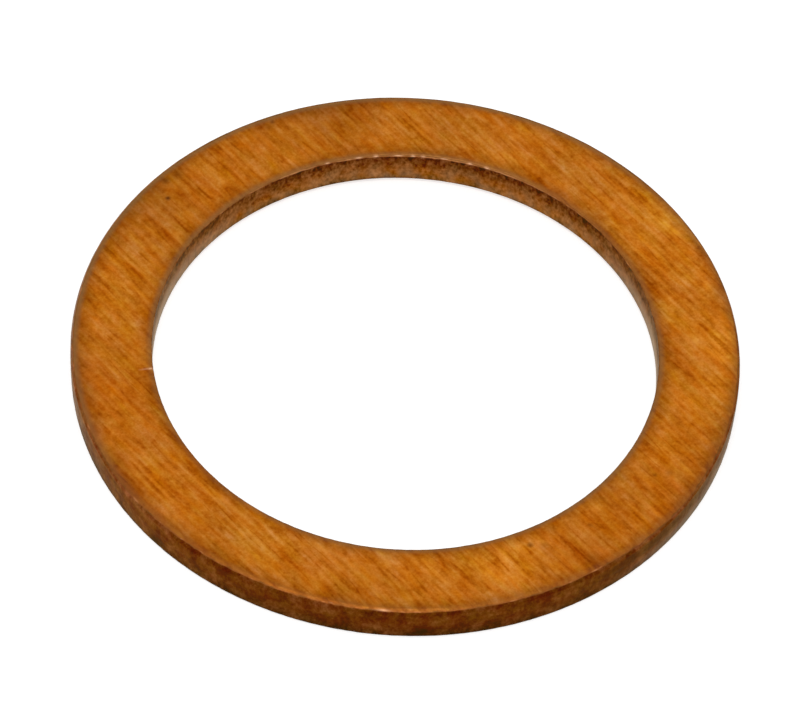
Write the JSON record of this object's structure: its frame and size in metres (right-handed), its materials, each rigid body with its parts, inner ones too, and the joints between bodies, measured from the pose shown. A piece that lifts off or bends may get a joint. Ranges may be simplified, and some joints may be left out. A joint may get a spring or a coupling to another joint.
{
  "type": "copper crush washer",
  "caption": "Flat annealed copper sealing ring with sheared, lightly rounded edges; it crushes a little under a threaded plug to seal it.",
  "frame": {"origin": "centre of the lower sealing face, on the ring's axis", "axes": "+Z along the ring's axis, out of the upper sealing face, which is the one with the rolled outer corner; the ring is round, so +X and +Y are any two directions across it"},
  "size_m": [0.028, 0.028, 0.0016],
  "materials": {
    "copper": "annealed copper strip, grained on the faces, darker and streaked on the sheared walls"
  },
  "bodies": {
    "root": {"crush_washer": "copper"}
  },
  "joints": []
}
